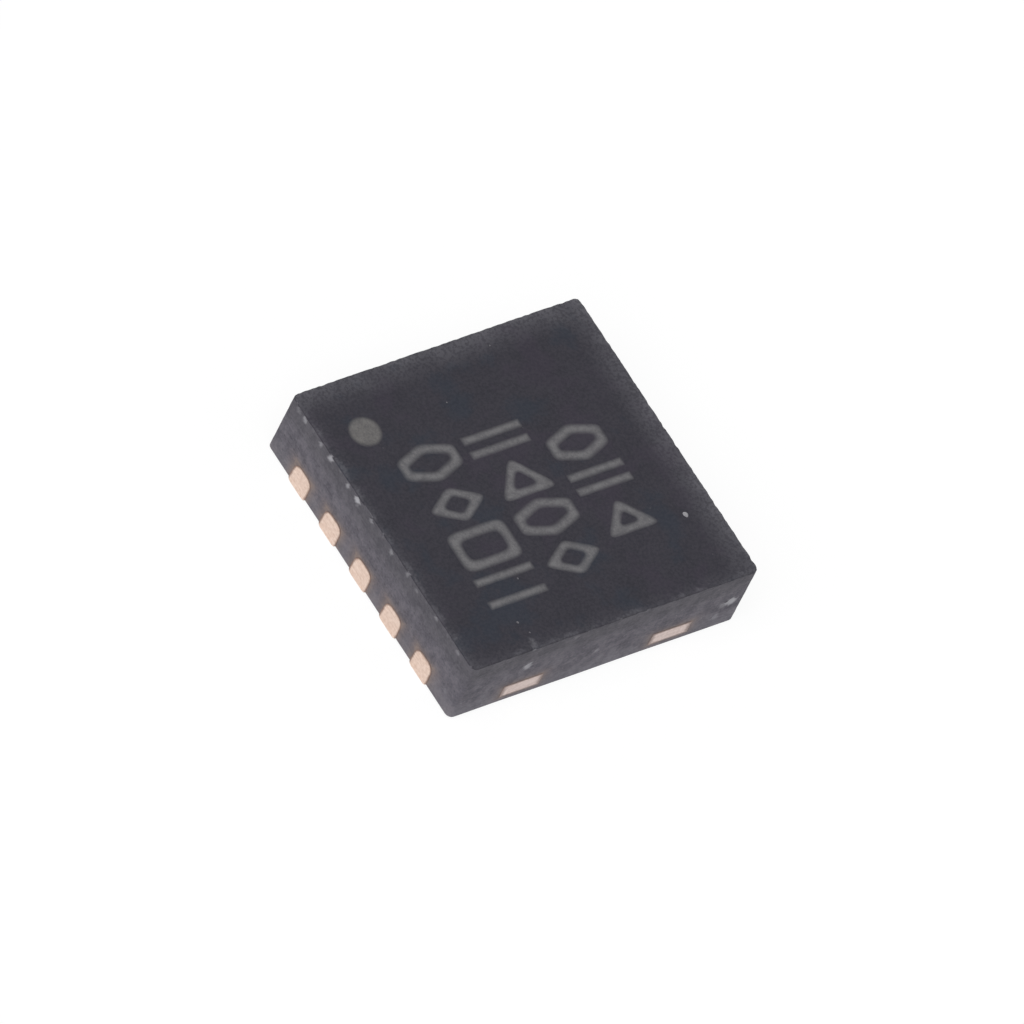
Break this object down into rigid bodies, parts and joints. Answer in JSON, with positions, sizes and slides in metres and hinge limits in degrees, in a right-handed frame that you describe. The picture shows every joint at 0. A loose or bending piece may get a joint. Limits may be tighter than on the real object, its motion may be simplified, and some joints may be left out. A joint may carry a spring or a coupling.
{
  "type": "stepper motor driver chip",
  "caption": "Square moulded no-lead chip package with bottom terminals, an exposed pad, a die and bond wires inside.",
  "frame": {"origin": "middle of the package on the board plane, where the terminals and the exposed pad rest", "axes": "+Z out of the top face; X across the two terminal rows, terminals 1 to 5 on the -X wall; +Y towards the end with terminal 1 and the pin-one mark"},
  "size_m": [0.003, 0.003, 0.0008],
  "materials": {
    "mold_compound": "black moulded epoxy with a fine matt texture, paler and streaked where it was sawn",
    "terminal_copper": "copper alloy, bare at the sawn end and matt tin underneath",
    "tinned_pad": "matt tin over copper alloy",
    "die_adhesive": "silver-filled epoxy",
    "silicon": "polished silicon",
    "bond_wire": "bright gold wire"
  },
  "bodies": {
    "root": {"mold_body": "mold_compound", "terminal_1": "terminal_copper", "terminal_2": "terminal_copper", "terminal_3": "terminal_copper", "terminal_4": "terminal_copper", "terminal_5": "terminal_copper", "terminal_6": "terminal_copper", "terminal_7": "terminal_copper", "terminal_8": "terminal_copper", "terminal_9": "terminal_copper", "terminal_10": "terminal_copper", "die_pad": "tinned_pad", "die_attach": "die_adhesive", "die": "silicon", "bond_wire_1": "bond_wire", "bond_wire_2": "bond_wire", "bond_wire_3": "bond_wire", "bond_wire_4": "bond_wire", "bond_wire_5": "bond_wire", "bond_wire_6": "bond_wire", "bond_wire_7": "bond_wire", "bond_wire_8": "bond_wire", "bond_wire_9": "bond_wire", "bond_wire_10": "bond_wire"}
  },
  "joints": []
}
